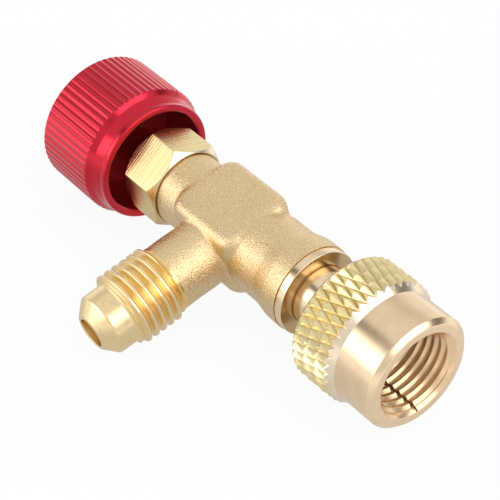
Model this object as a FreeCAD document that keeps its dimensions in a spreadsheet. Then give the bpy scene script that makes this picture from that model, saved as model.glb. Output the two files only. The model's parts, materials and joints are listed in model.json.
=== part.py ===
"""Hose flow control valve, an angle valve that opens the core of a refrigerant service port.

A forged brass tee carries a hexagon bonnet nut and a red knob at one end, a knurled swivel nut at
the other, and a male flare port at the side. Turning the knob in drives a thin pin forwards, out of
the middle of the swivel nut, where it presses the core of the service port open.

Lengths are in millimetres. The main axis is +X, from the knob to the swivel nut, and the port
axis crosses it. Each piece is modelled from its own knob-side end at x = 0, and its station is the
distance from the port axis to that end. The origin of the whole valve is the outer end of the
swivel nut's thread, and the valve is rolled about +X until its side port rests on the table.
"""

import FreeCAD
import Part
import Sketcher

import math
import os

from FreeCAD import Placement, Rotation, Vector

DIMENSIONS = {
    # Forged tee
    "neck_reach": 10.7,
    "neck_radius": 5.6,
    "hub_back": 6.9,
    "hub_front": 6.9,
    "hub_half_width": 5.95,
    "hub_half_height": 5.7,
    "hub_corner": 2.5,
    "hub_edge": 1.2,
    "tail_reach": 17.5,
    "tail_radius": 6.05,
    "tail_rise": 1.6,
    "collar_radius": 6.6,
    "collar_length": 2.6,
    "collar_flare": 2.6,
    "collar_band_radius": 6.45,
    "collar_band_length": 1.3,
    "passage_radius": 2.8,
    "socket_clearance": 0.05,
    "socket_end_room": 0.2,
    # Side port, a male flare
    "port_reach": 25.4,
    "port_neck_reach": 12.6,
    "port_neck_radius": 4.9,
    "port_blend": 0.9,
    "port_thread_radius": 5.55,
    "port_thread_length": 7.55,
    "port_thread_chamfer": 0.6,
    "port_nose_radius": 4.53,
    "port_cone_tip_radius": 2.67,
    "port_bore_radius": 2.2,
    # Bonnet nut
    "bonnet_washer_thickness": 0.3,
    "bonnet_washer_radius": 5.3,
    "hex_length": 7.2,
    "hex_flats": 12.0,
    "hex_face_radius": 5.9,
    "hex_chamfer": 1.1,
    "bonnet_shank_radius": 4.3,
    "bonnet_shank_length": 6.4,
    "bonnet_thread_length": 5.7,
    "bonnet_countersink": 0.5,
    "piston_bore_radius": 3.3,
    # Stem
    "running_clearance": 0.05,
    "stem_radius": 2.9,
    "piston_length": 4.2,
    "piston_rest_gap": 0.2,
    "ring_groove_width": 1.0,
    "ring_groove_floor": 2.45,
    "ring_land": 0.7,
    "ring_squeeze_gap": 0.02,
    "nose_radius": 2.3,
    "nose_length": 2.5,
    "drive_square": 4.2,
    "drive_length": 1.95,
    "drive_clearance": 0.05,
    # Knob
    "knob_standoff": 0.6,
    "knob_radius": 10.25,
    "knob_chamfer": 0.5,
    "grip_length": 10.7,
    "shoulder_length": 0.9,
    "shoulder_drop": 0.75,
    "waist_length": 1.5,
    "bead_rise": 0.2,
    "bead_length": 0.9,
    "waist_radius": 8.9,
    "waist_bow": 2.6,
    "bead_radius": 9.2,
    "bead_round": 0.4,
    "cavity_radius": 8.0,
    "mouth_chamfer": 0.3,
    "knob_end_wall": 5.8,
    "flute_count": 64,
    "flute_depth": 0.13,
    "flute_radius": 0.92,
    # Knob screw and washer
    "screw_radius": 1.5,
    "screw_hole_gap": 0.2,
    "screw_grip": 6.0,
    "screw_head_radius": 2.75,
    "screw_head_height": 1.7,
    "screw_key_flats": 2.0,
    "screw_key_depth": 1.0,
    "screw_washer_radius": 3.0,
    "screw_washer_thickness": 0.5,
    "head_recess_depth": 2.6,
    "head_recess_gap": 0.2,
    # Depressor pin and what holds its tail
    "pin_radius": 0.8,
    "pin_tip_setback": 1.5,
    "pin_tip_chamfer": 0.25,
    "pin_collar_radius": 1.3,
    "pin_collar_length": 1.2,
    "pin_retainer_length": 0.8,
    "pin_end_play": 0.1,
    # Tailpiece, its ring, the pin guide and the face gasket
    "shank_length": 7.0,
    "shank_radius": 3.8,
    "shank_ring_section": 0.5,
    "shank_ring_setback": 1.4,
    "swivel_neck_radius": 4.4,
    "flange_radius": 5.4,
    "flange_thickness": 1.15,
    "boss_radius": 3.3,
    "boss_length": 0.9,
    "guide_seat_radius": 2.6,
    "guide_thickness": 1.2,
    "guide_slot_count": 3,
    "guide_slot_radius": 0.5,
    "gasket_thickness": 1.1,
    "gasket_gap": 0.05,
    # Swivel nut
    "nut_standoff": 5.5,
    "nut_length": 14.3,
    "nut_rear_wall": 2.2,
    "nut_rear_chamfer": 0.5,
    "knurl_radius": 9.4,
    "knurl_length": 5.9,
    "knurl_step": 2.1,
    "knurl_count": 40,
    "knurl_depth": 0.4,
    "knurl_tip_flat": 0.03,
    "nut_slope_length": 1.15,
    "nut_radius": 8.4,
    "nut_front_chamfer": 0.7,
    "nut_thread_radius": 5.65,
    "nut_thread_length": 7.9,
    "nut_thread_relief": 6.4,
    "mouth_countersink": 0.9,
    "vent_angle": 259.0,
    "vent_width": 0.9,
    "vent_radius": 6.75,
    # Slip washer
    "slip_washer_thickness": 0.55,
    "slip_washer_radius": 6.0,
    "slip_gap": 0.05,
}


class Size:
    """A number with its formula, so that a feature is bound to the sheet and not to a copy."""

    def __init__(self, formula, value):
        self.formula = formula
        self.value = value

    def __add__(self, other):
        return joined(self, "+", other, self.value + number(other))

    def __radd__(self, other):
        return joined(other, "+", self, number(other) + self.value)

    def __sub__(self, other):
        return joined(self, "-", other, self.value - number(other))

    def __rsub__(self, other):
        return joined(other, "-", self, number(other) - self.value)

    def __mul__(self, other):
        return joined(self, "*", other, self.value * number(other))

    __rmul__ = __mul__

    def __truediv__(self, other):
        return joined(self, "/", other, self.value / number(other))

    def __neg__(self):
        return 0 - self


def number(size):
    """Plain number of a size or of a number."""
    return size.value if isinstance(size, Size) else size


def text(size):
    """Formula of a size, or the number itself."""
    return size.formula if isinstance(size, Size) else repr(float(size))


def joined(left, sign, right, value):
    return Size("({} {} {})".format(text(left), sign, text(right)), value)


doc = FreeCAD.newDocument("hose_flow_control_valve")
sheet = doc.addObject("Spreadsheet::Sheet", "dims")
for row, (name, value) in enumerate(DIMENSIONS.items(), start=1):
    sheet.set("A{}".format(row), name)
    sheet.set("B{}".format(row), str(value))
    sheet.setAlias("B{}".format(row), name)
doc.recompute()


def dim(name):
    """A driving dimension, read back from the sheet."""
    return Size("dims." + name, sheet.get(name))


ZERO = Size("0", 0.0)

# Stations: distances along the main axis from the port axis to a piece's knob-side end.
hex_corner = dim("hex_flats") / math.sqrt(3.0)
bonnet_seat = -dim("neck_reach") - dim("bonnet_washer_thickness")
bonnet_end = bonnet_seat - dim("hex_length")
knob_mouth = bonnet_end - dim("knob_standoff")
waist_start = dim("grip_length") + dim("shoulder_length")
bead_start = waist_start + dim("waist_length") + dim("bead_rise")
knob_length = bead_start + dim("bead_length")
knob_end = knob_mouth - knob_length
stem_shoulder = knob_end + dim("knob_end_wall")
stem_end = stem_shoulder - dim("drive_length")
piston_stop = bonnet_end + dim("bonnet_thread_length")
piston_start = piston_stop + dim("piston_rest_gap")
nose_start = piston_start + dim("piston_length")
nose_end = nose_start + dim("nose_length")
head_seat = knob_end + dim("head_recess_depth")
nut_rear = dim("tail_reach") + dim("nut_standoff")
slip_station = nut_rear + dim("nut_rear_wall") + dim("slip_gap")
flange_station = slip_station + dim("slip_washer_thickness") + dim("slip_gap")
gasket_station = flange_station + dim("flange_thickness")
shank_station = dim("tail_reach") - dim("shank_length")
tail_nose = gasket_station + dim("boss_length")
guide_station = tail_nose - dim("guide_thickness") - dim("boss_length")
thread_mouth = nut_rear + dim("nut_length") - dim("mouth_countersink")
port_thread_end = dim("port_neck_reach") + dim("port_thread_length")
port_cone_start = dim("port_reach") - dim("port_nose_radius") + dim("port_cone_tip_radius")
piston_radius = dim("piston_bore_radius") - dim("running_clearance")
pin_pocket_radius = dim("pin_collar_radius") + dim("running_clearance")
pin_tail = nose_end - dim("pin_retainer_length") - dim("pin_end_play") - dim("pin_collar_length")
pin_tip = tail_nose - dim("pin_tip_setback")
pin_hole_radius = dim("pin_radius") + dim("running_clearance")


def lie_angle():
    """Roll about the main axis, in degrees, at which the side port rests on the table.

    The table touches the knob's grip and the nut's knurl, so its depth under the port axis is
    read off the line between those two. The port meets it with its thread or with its nose,
    whichever comes down first.
    """
    grip = knob_end.value + dim("grip_length").value
    knurl = nut_rear.value + dim("nut_rear_chamfer").value
    slope = (dim("knob_radius").value - dim("knurl_radius").value) / (knurl - grip)
    depth = dim("knob_radius").value + grip * slope
    leans = []
    for reach, radius in ((port_thread_end, dim("port_thread_radius")),
                          (port_cone_start, dim("port_nose_radius"))):
        slant = math.hypot(reach.value, radius.value)
        leans.append(math.asin(depth / slant) - math.atan2(radius.value, reach.value))
    return math.degrees(min(leans))


LIE = Rotation(Vector(1, 0, 0), lie_angle())
pieces = []


def seat(piece, station):
    """Put a finished piece at its station on the main axis, in the frame of the whole valve."""
    piece.Placement = Placement(Vector(number(station) - thread_mouth.value, 0, 0), LIE)
    pieces.append(piece)
    return piece


def bind(feature, **sizes):
    for name, size in sizes.items():
        setattr(feature, name, number(size))
        if isinstance(size, Size):
            feature.setExpression(name, size.formula)
    return feature


class Bow:
    """A corner of an outline that is reached by an arc; a negative radius bows the other way."""

    def __init__(self, x, y, radius):
        self.x = x
        self.y = y
        self.radius = radius


def arc_between(start, end, radius):
    """Minor arc of a circle; a positive radius bows to the left of the way from start to end."""
    chord = end - start
    across = Vector(-chord.y, chord.x, 0)
    across.normalize()
    half = chord.Length / 2
    rise = abs(radius) - math.sqrt(max(radius * radius - half * half, 0.0))
    middle = (start + end) * 0.5 + across * math.copysign(rise, radius)
    return Part.ArcOfCircle(start, middle, end)


def sketch_on(body, role, name, outline):
    """A closed outline in one of the body's origin planes, each corner bound to the sheet."""
    plane = [f for f in body.Origin.OriginFeatures if f.Role == role][0]
    sketch = body.newObject("Sketcher::SketchObject", name)
    sketch.AttachmentSupport = [(plane, "")]
    sketch.MapMode = "FlatFace"
    corners = [c if isinstance(c, Bow) else Bow(c[0], c[1], None) for c in outline]
    places = [Vector(number(c.x), number(c.y), 0) for c in corners]
    starts = []
    for i, corner in enumerate(corners):
        start, end = places[i - 1], places[i]
        if corner.radius is None:
            sketch.addGeometry(Part.LineSegment(start, end), False)
            starts.append((1, 2))
            continue
        arc = arc_between(start, end, number(corner.radius))
        index = sketch.addGeometry(arc, False)
        forward = sketch.Geometry[index].StartPoint.distanceToPoint(start) < 1e-6
        starts.append((1, 2) if forward else (2, 1))
        bound(sketch, Sketcher.Constraint("Radius", index, abs(number(corner.radius))),
              corner.radius if number(corner.radius) > 0 else -corner.radius)
    count = len(corners)
    for i in range(count):
        after = (i + 1) % count
        sketch.addConstraint(
            Sketcher.Constraint("Coincident", i, starts[i][1], after, starts[after][0]))
        x, y = corners[i].x, corners[i].y
        bound(sketch, Sketcher.Constraint("DistanceX", -1, 1, i, starts[i][1], number(x)), x)
        bound(sketch, Sketcher.Constraint("DistanceY", -1, 1, i, starts[i][1], number(y)), y)
    return sketch


def round_section(body, name, middle, radius):
    """A circle in the cross plane, its centre on the first axis of that plane."""
    sketch = sketch_on(body, "YZ_Plane", name, [])
    circle = Part.Circle(Vector(middle.value, 0, 0), Vector(0, 0, 1), radius.value)
    index = sketch.addGeometry(circle, False)
    bound(sketch, Sketcher.Constraint("Radius", index, radius.value), radius)
    bound(sketch, Sketcher.Constraint("DistanceX", -1, 1, index, 3, middle.value), middle)
    sketch.addConstraint(Sketcher.Constraint("PointOnObject", index, 3, -1))
    return sketch


def bound(sketch, constraint, size):
    index = sketch.addConstraint(constraint)
    if isinstance(size, Size):
        sketch.setExpression("Constraints[{}]".format(index), size.formula)


def new_body(label):
    body = doc.addObject("PartDesign::Body", label)
    body.Label = label
    return body


def feature(body, kind, name, sketch, **sizes):
    made = body.newObject("PartDesign::" + kind, name)
    made.Profile = sketch
    bind(made, **sizes)
    return made


def revolve(body, kind, name, outline, axis="H_Axis"):
    """Turn an outline of the XY plane about the main axis, or about V_Axis for the port."""
    sketch = sketch_on(body, "XY_Plane", name + "_outline", outline)
    made = feature(body, kind, name, sketch, Angle=360.0)
    made.ReferenceAxis = (sketch, [axis])
    return made


def turned(label, outline):
    body = new_body(label)
    revolve(body, "Revolution", label + "_turning", outline)
    return body


def polygon(sides, circumradius, first_angle):
    """Corners of a regular polygon about the origin."""
    return [
        (circumradius * math.cos(math.radians(first_angle + 360.0 * k / sides)),
         circumradius * math.sin(math.radians(first_angle + 360.0 * k / sides)))
        for k in range(sides)
    ]


def washer(label, station, thickness, outer, inner):
    """A flat ring, its axis along the main axis."""
    ring = turned(label, [(ZERO, inner), (ZERO, outer), (thickness, outer), (thickness, inner)])
    return seat(ring, station)


def oring(label, centre_station, ring_radius, section_radius):
    ring = doc.addObject("Part::Torus", label)
    ring.Label = label
    bind(ring, Radius1=ring_radius, Radius2=section_radius)
    seat(ring, centre_station)
    ring.Placement = ring.Placement * Placement(Vector(), Rotation(Vector(0, 1, 0), 90))
    return ring


def edges_where(shape, test):
    return ["Edge{}".format(i) for i, e in enumerate(shape.Edges, start=1) if test(e)]


def make_valve_body():
    """Forged tee: a block hub with rounded edges, two barrels in line and the side port."""
    body = new_body("valve_body")
    width, height = dim("hub_half_width"), dim("hub_half_height")
    back, front = dim("hub_back"), dim("hub_front")
    plan = sketch_on(body, "XY_Plane", "hub_plan",
                     [(-back, -width), (front, -width), (front, width), (-back, width)])
    hub = feature(body, "Pad", "hub_block", plan, Length=height * 2)
    hub.SideType = "Symmetric"
    doc.recompute()

    upright = edges_where(hub.Shape, lambda e: e.BoundBox.ZLength > height.value)
    corners = body.newObject("PartDesign::Fillet", "hub_corners")
    corners.Base = (hub, upright)
    bind(corners, Radius=dim("hub_corner"))
    doc.recompute()
    rims = edges_where(corners.Shape, lambda e: e.BoundBox.ZLength < 1e-6)
    rounded = body.newObject("PartDesign::Fillet", "hub_rims")
    rounded.Base = (corners, rims)
    bind(rounded, Radius=dim("hub_edge"))

    neck_step = dim("port_thread_radius") - dim("port_neck_radius")
    port = revolve(body, "Revolution", "side_port", [
        (ZERO, ZERO),
        (dim("port_neck_radius"), ZERO),
        (dim("port_neck_radius"), -dim("port_neck_reach")),
        (dim("port_thread_radius"), -(dim("port_neck_reach") + neck_step)),
        (dim("port_thread_radius"), -port_thread_end),
        (dim("port_nose_radius"), -(port_thread_end + dim("port_thread_chamfer"))),
        (dim("port_nose_radius"), -port_cone_start),
        (dim("port_cone_tip_radius"), -dim("port_reach")),
        (ZERO, -dim("port_reach")),
    ], axis="V_Axis")
    doc.recompute()

    def port_root(edge):
        """An edge of the line where the port's neck leaves the side of the hub."""
        first, last = edge.ParameterRange
        points = [edge.valueAt(first + (last - first) * k / 4) for k in range(5)]
        neck = dim("port_neck_radius").value
        round_neck = all(abs(math.hypot(p.x, p.z) - neck) < 1e-3 for p in points)
        return round_neck and all(-width.value - 1e-3 < p.y < 0 for p in points)

    blend = body.newObject("PartDesign::Fillet", "port_root")
    blend.Base = (port, edges_where(port.Shape, port_root))
    bind(blend, Radius=dim("port_blend"))

    collar_start = dim("tail_reach") - dim("collar_band_length") - dim("collar_length")
    band_start = dim("tail_reach") - dim("collar_band_length")
    revolve(body, "Revolution", "barrels", [
        (-dim("neck_reach"), ZERO),
        (-dim("neck_reach"), dim("neck_radius")),
        (front - dim("tail_rise"), dim("neck_radius")),
        (front, dim("tail_radius")),
        (collar_start - dim("collar_flare"), dim("tail_radius")),
        (collar_start, dim("collar_radius")),
        (band_start, dim("collar_radius")),
        (band_start, dim("collar_band_radius")),
        (dim("tail_reach"), dim("collar_band_radius")),
        (dim("tail_reach"), ZERO),
    ])
    socket = dim("bonnet_shank_radius") + dim("socket_clearance")
    socket_floor = bonnet_seat + dim("bonnet_shank_length") + dim("socket_end_room")
    tail_socket = dim("shank_radius") + dim("socket_clearance")
    tail_floor = shank_station - dim("socket_end_room")
    revolve(body, "Groove", "passages", [
        (-dim("neck_reach"), ZERO),
        (-dim("neck_reach"), socket),
        (socket_floor, socket),
        (socket_floor, dim("passage_radius")),
        (tail_floor, dim("passage_radius")),
        (tail_floor, tail_socket),
        (dim("tail_reach"), tail_socket),
        (dim("tail_reach"), ZERO),
    ])
    revolve(body, "Groove", "port_bore", [
        (ZERO, ZERO),
        (dim("port_bore_radius"), ZERO),
        (dim("port_bore_radius"), -dim("port_reach")),
        (ZERO, -dim("port_reach")),
    ], axis="V_Axis")
    return seat(body, ZERO)


def make_bonnet_nut():
    """Hexagon nut on the neck; its shank screws in, and the piston seals in its smooth bore."""
    body = new_body("bonnet_nut")
    outline = sketch_on(body, "YZ_Plane", "hexagon", polygon(6, hex_corner, 30.0))
    feature(body, "Pad", "hex_prism", outline, Length=dim("hex_length"))
    face, run = dim("hex_face_radius"), dim("hex_chamfer") * 2
    beyond = face + (hex_corner - face) * 2
    far = dim("hex_length")
    revolve(body, "Groove", "outer_corners", [(ZERO, face), (ZERO, beyond), (run, beyond)])
    revolve(body, "Groove", "inner_corners", [(far, face), (far, beyond), (far - run, beyond)])
    end = far + dim("bonnet_shank_length")
    revolve(body, "Revolution", "shank", [
        (far, ZERO), (far, dim("bonnet_shank_radius")), (end, dim("bonnet_shank_radius")), (end, ZERO)])
    bore = dim("stem_radius") + dim("running_clearance")
    sink = dim("bonnet_countersink")
    revolve(body, "Groove", "bores", [
        (ZERO, ZERO),
        (ZERO, bore + sink),
        (sink, bore),
        (dim("bonnet_thread_length"), bore),
        (dim("bonnet_thread_length"), dim("piston_bore_radius")),
        (end, dim("piston_bore_radius")),
        (end, ZERO),
    ])
    return seat(body, bonnet_end)


def make_stem():
    """Stem: square drive, threaded stretch, piston with two ring grooves and a bored nose."""
    body = new_body("stem")
    start = stem_end
    shoulder = stem_shoulder - start
    piston, nose, tip = piston_start - start, nose_start - start, nose_end - start
    land, width, floor = dim("ring_land"), dim("ring_groove_width"), dim("ring_groove_floor")
    pocket = nose_end - pin_tail + dim("pin_end_play")
    revolve(body, "Revolution", "stem_turning", [
        (shoulder, ZERO),
        (shoulder, dim("stem_radius")),
        (piston, dim("stem_radius")),
        (piston, piston_radius),
        (piston + land, piston_radius),
        (piston + land, floor),
        (piston + land + width, floor),
        (piston + land + width, piston_radius),
        (nose - land - width, piston_radius),
        (nose - land - width, floor),
        (nose - land, floor),
        (nose - land, piston_radius),
        (nose, piston_radius),
        (nose, dim("nose_radius")),
        (tip, dim("nose_radius")),
        (tip, pin_pocket_radius),
        (tip - pocket, pin_pocket_radius),
        (tip - pocket, ZERO),
    ])
    drive = sketch_on(body, "YZ_Plane", "square",
                      polygon(4, dim("drive_square") / math.sqrt(2.0), 45.0))
    feature(body, "Pad", "square_drive", drive, Length=shoulder + dim("stem_radius"))
    tapped = head_seat - dim("screw_washer_thickness") + dim("screw_grip") - start
    depth = tapped + dim("socket_end_room")
    radius = dim("screw_radius") + dim("ring_squeeze_gap")
    revolve(body, "Groove", "tapped_hole", [
        (ZERO, ZERO), (ZERO, radius), (depth, radius), (depth, ZERO)])
    return seat(body, start)


def make_knob():
    """Turned aluminium knob: fluted grip, sloped shoulder, hollowed waist, beaded lip, deep cavity."""
    body = new_body("knob")
    length, radius = knob_length, dim("knob_radius")
    recess = dim("screw_washer_radius") + dim("head_recess_gap")
    hole = dim("screw_radius") + dim("screw_hole_gap")
    revolve(body, "Revolution", "knob_turning", [
        (dim("head_recess_depth"), hole),
        (dim("head_recess_depth"), recess),
        (ZERO, recess),
        (ZERO, radius - dim("knob_chamfer")),
        (dim("knob_chamfer"), radius),
        (dim("grip_length"), radius),
        (waist_start, radius - dim("shoulder_drop")),
        Bow(waist_start + dim("waist_length"), dim("waist_radius"), -dim("waist_bow")),
        (bead_start, dim("bead_radius")),
        (length - dim("bead_round"), dim("bead_radius")),
        Bow(length, dim("bead_radius") - dim("bead_round"), dim("bead_round")),
        (length, dim("cavity_radius") + dim("mouth_chamfer")),
        (length - dim("mouth_chamfer"), dim("cavity_radius")),
        (dim("knob_end_wall"), dim("cavity_radius")),
        (dim("knob_end_wall"), hole),
    ])
    side = dim("drive_square") + dim("drive_clearance") * 2
    socket = sketch_on(body, "YZ_Plane", "socket_square", polygon(4, side / math.sqrt(2.0), 45.0))
    socket.AttachmentOffset = Placement(Vector(0, 0, dim("knob_end_wall").value), Rotation())
    socket.setExpression(".AttachmentOffset.Base.z", text(dim("knob_end_wall")))
    feature(body, "Pocket", "square_socket", socket,
            Length=dim("drive_length") + dim("drive_clearance"))
    doc.recompute()

    hollow = dim("flute_radius")
    flute = round_section(body, "flute_round", radius - dim("flute_depth") + hollow, hollow)
    groove = feature(body, "Pocket", "flute", flute, Length=waist_start)
    groove.Reversed = True
    flutes = body.newObject("PartDesign::PolarPattern", "flutes")
    flutes.Originals = [groove]
    axis = [f for f in body.Origin.OriginFeatures if f.Role == "X_Axis"][0]
    flutes.Axis = (axis, [""])
    flutes.Angle = 360.0
    bind(flutes, Occurrences=dim("flute_count"))
    body.Tip = flutes
    return seat(body, knob_end)


def make_knob_screw():
    """Socket-head screw that holds the knob on the stem."""
    body = new_body("knob_screw")
    head = dim("screw_head_height")
    reach = head + dim("screw_grip")
    revolve(body, "Revolution", "screw_turning", [
        (ZERO, ZERO),
        (ZERO, dim("screw_head_radius")),
        (head, dim("screw_head_radius")),
        (head, dim("screw_radius")),
        (reach, dim("screw_radius")),
        (reach, ZERO),
    ])
    key = sketch_on(body, "YZ_Plane", "key", polygon(6, dim("screw_key_flats") / math.sqrt(3.0), 0.0))
    cut = feature(body, "Pocket", "key_socket", key, Length=dim("screw_key_depth"))
    cut.Reversed = True
    return seat(body, head_seat - dim("screw_washer_thickness") - head)


def make_depressor_pin():
    """Thin pin: a collar at its tail turns in the stem's nose, and its tip presses the core."""
    tip = pin_tip - pin_tail
    blunt = dim("pin_tip_chamfer")
    pin = turned("depressor_pin", [
        (ZERO, ZERO),
        (ZERO, dim("pin_collar_radius")),
        (dim("pin_collar_length"), dim("pin_collar_radius")),
        (dim("pin_collar_length"), dim("pin_radius")),
        (tip - blunt, dim("pin_radius")),
        (tip, dim("pin_radius") - blunt),
        (tip, ZERO),
    ])
    return seat(pin, pin_tail)


def make_tailpiece():
    """Turned swivel tail: a shank screwed into the collar, a neck, and the flange in the nut."""
    start = shank_station
    shank, flange = dim("tail_reach") - start, flange_station - start
    face, nose = gasket_station - start, tail_nose - start
    seat_floor = guide_station - start
    setback, section = dim("shank_ring_setback"), dim("shank_ring_section")
    groove_floor = dim("shank_radius") - section * 2 + dim("socket_clearance")
    tail = turned("tailpiece", [
        (ZERO, dim("port_bore_radius")),
        (ZERO, dim("shank_radius")),
        (shank - setback - section * 2, dim("shank_radius")),
        (shank - setback - section * 2, groove_floor - dim("ring_squeeze_gap") * 2),
        (shank - setback, groove_floor - dim("ring_squeeze_gap") * 2),
        (shank - setback, dim("shank_radius")),
        (shank, dim("shank_radius")),
        (shank, dim("swivel_neck_radius")),
        (flange, dim("swivel_neck_radius")),
        (flange, dim("flange_radius")),
        (face, dim("flange_radius")),
        (face, dim("boss_radius")),
        (nose, dim("boss_radius")),
        (nose, dim("guide_seat_radius")),
        (seat_floor, dim("guide_seat_radius")),
        (seat_floor, dim("port_bore_radius")),
    ])
    return seat(tail, start)


def make_pin_guide():
    """Small disc in the tailpiece that centres the pin and lets the flow past in round slots."""
    body = new_body("pin_guide")
    thickness = dim("guide_thickness")
    rim = dim("guide_seat_radius") - dim("ring_squeeze_gap")
    revolve(body, "Revolution", "guide_disc", [
        (ZERO, pin_hole_radius), (ZERO, rim), (thickness, rim), (thickness, pin_hole_radius)])
    middle = (pin_hole_radius + rim) / 2
    slot_sketch = round_section(body, "slot_round", middle, dim("guide_slot_radius"))
    slot = feature(body, "Pocket", "flow_slot", slot_sketch, Length=thickness)
    slot.Reversed = True
    slots = body.newObject("PartDesign::PolarPattern", "flow_slots")
    slots.Originals = [slot]
    axis = [f for f in body.Origin.OriginFeatures if f.Role == "X_Axis"][0]
    slots.Axis = (axis, [""])
    slots.Angle = 360.0
    bind(slots, Occurrences=dim("guide_slot_count"))
    body.Tip = slots
    return seat(body, guide_station)


def knurl_form():
    """Closed form whose side is rows of four-sided points, larger than the nut elsewhere.

    Each ring of corners alternates between tip and valley, and the next ring is half a step
    round, so that the valleys cross as on a diamond knurl.
    """
    count = int(dim("knurl_count").value)
    step = dim("knurl_step").value
    first = dim("nut_rear_chamfer").value - step
    rings_on_grip = math.ceil(dim("knurl_length").value / step)
    stations = [first + step * k for k in range(rings_on_grip + 3)]
    stations.append(dim("nut_length").value + step)
    tip = dim("knurl_radius").value + dim("knurl_tip_flat").value
    valley = dim("knurl_radius").value - dim("knurl_depth").value
    rings = []
    for j, x in enumerate(stations):
        ring = []
        for k in range(2 * count):
            radius = tip if (j + k) % 2 == 0 else valley
            angle = math.pi * k / count
            ring.append(Vector(x, radius * math.cos(angle), radius * math.sin(angle)))
        rings.append(ring)
    faces = [Part.Face(Part.makePolygon(ring + ring[:1])) for ring in (rings[0], rings[-1])]
    for j in range(len(rings) - 1):
        for k in range(2 * count):
            near = (rings[j][k], rings[j][(k + 1) % (2 * count)])
            far = (rings[j + 1][k], rings[j + 1][(k + 1) % (2 * count)])
            if (j + k) % 2 == 0:
                triangles = (near[0], near[1], far[0]), (near[1], far[1], far[0])
            else:
                triangles = (near[0], near[1], far[1]), (near[0], far[1], far[0])
            for corners in triangles:
                faces.append(Part.Face(Part.makePolygon(list(corners) + [corners[0]])))
    solid = Part.Solid(Part.Shell(faces))
    return solid if solid.Volume > 0 else solid.reversed()


def make_swivel_nut():
    """Knurled swivel nut: rear wall round the tailpiece's neck, thread relief, thread and vent."""
    blank = new_body("swivel_nut_blank")
    length, grip = dim("nut_length"), dim("nut_rear_chamfer") + dim("knurl_length")
    rear, chamfer = dim("nut_rear_chamfer"), dim("nut_front_chamfer")
    hole = dim("swivel_neck_radius") + dim("running_clearance")
    bore, sink = dim("nut_thread_radius"), dim("mouth_countersink")
    revolve(blank, "Revolution", "nut_turning", [
        (ZERO, hole),
        (ZERO, dim("knurl_radius") - rear),
        (rear, dim("knurl_radius")),
        (grip, dim("knurl_radius")),
        (grip + dim("nut_slope_length"), dim("nut_radius")),
        (length - chamfer, dim("nut_radius")),
        (length, dim("nut_radius") - chamfer),
        (length, bore + sink),
        (length - sink, bore),
        (length - sink - dim("nut_thread_length"), bore),
        (length - sink - dim("nut_thread_length"), dim("nut_thread_relief")),
        (dim("nut_rear_wall"), dim("nut_thread_relief")),
        (dim("nut_rear_wall"), hole),
    ])
    half = dim("vent_width") / 2
    section = sketch_on(blank, "YZ_Plane", "vent_section", [
        (ZERO, -half), (dim("vent_radius"), -half), (dim("vent_radius"), half), (ZERO, half)])
    section.AttachmentOffset = Placement(
        Vector(0, 0, length.value), Rotation(Vector(0, 0, 1), dim("vent_angle").value))
    section.setExpression(".AttachmentOffset.Base.z", text(length))
    section.setExpression(".AttachmentOffset.Rotation.Angle", text(dim("vent_angle")))
    feature(blank, "Pocket", "vent_slot", section, Length=sink + dim("nut_thread_length"))

    form = doc.addObject("Part::Feature", "knurl_form")
    form.Shape = knurl_form()
    nut = doc.addObject("Part::Common", "swivel_nut")
    nut.Label = "swivel_nut"
    nut.Base = blank
    nut.Tool = form
    return seat(nut, nut_rear)


make_valve_body()
make_bonnet_nut()
washer("bonnet_washer", bonnet_seat, dim("bonnet_washer_thickness"),
       dim("bonnet_washer_radius"), dim("bonnet_shank_radius") + dim("socket_clearance"))
make_stem()
ring_section = (dim("piston_bore_radius") - dim("ring_groove_floor")) / 2 - dim("ring_squeeze_gap")
ring_middle = (dim("piston_bore_radius") + dim("ring_groove_floor")) / 2
ring_inset = dim("ring_land") + dim("ring_groove_width") / 2
oring("stem_oring_outer", piston_start + ring_inset, ring_middle, ring_section)
oring("stem_oring_inner", nose_start - ring_inset, ring_middle, ring_section)
washer("pin_retainer", nose_end - dim("pin_retainer_length"), dim("pin_retainer_length"),
       pin_pocket_radius - dim("ring_squeeze_gap"), pin_hole_radius)
make_knob()
washer("knob_washer", head_seat - dim("screw_washer_thickness"), dim("screw_washer_thickness"),
       dim("screw_washer_radius"), dim("screw_radius") + dim("screw_hole_gap") / 2)
make_knob_screw()
make_depressor_pin()
make_tailpiece()
oring("tailpiece_oring", dim("tail_reach") - dim("shank_ring_setback") - dim("shank_ring_section"),
      dim("shank_radius") + dim("socket_clearance") - dim("shank_ring_section"),
      dim("shank_ring_section") - dim("ring_squeeze_gap"))
make_pin_guide()
washer("face_gasket", gasket_station, dim("gasket_thickness"),
       dim("flange_radius") - dim("gasket_gap"), dim("boss_radius") + dim("gasket_gap"))
washer("slip_washer", slip_station, dim("slip_washer_thickness"),
       dim("slip_washer_radius"), dim("swivel_neck_radius") + dim("running_clearance"))
make_swivel_nut()
doc.recompute()

for item in doc.Objects:
    if "Invalid" in item.State or "Error" in item.State:
        raise RuntimeError("{} failed: {}".format(item.Label, item.State))
for piece in pieces:
    if piece.Shape.isNull() or not piece.Shape.isValid() or len(piece.Shape.Solids) != 1:
        raise RuntimeError("{} is not one valid solid".format(piece.Label))

os.makedirs("parts", exist_ok=True)
for piece in pieces:
    piece.Shape.exportStep(os.path.join("parts", piece.Label + ".step"))
    box = piece.Shape.BoundBox
    print("{:18} {:9.2f} mm3  x {:7.2f} to {:7.2f}".format(
        piece.Label, piece.Shape.Volume, box.XMin, box.XMax))
print("lie angle {:.2f} degrees".format(lie_angle()))
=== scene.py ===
# %% [markdown]
# # Hose flow control valve
# A small forged brass tee with a red turned knob, a flare port with an outside thread and a
# knurled swivel nut with an inside thread. The packed model gives every size and place; this
# script adds what a die, a lathe and a dye bath leave on such a valve: soft forged edges, real
# threads, a crisp knurl, eased corners and the finishes.

# %% Load the packed model
import json
import math

import bmesh
import bpy
import numpy as np
from mathutils import Matrix, Vector


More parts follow.
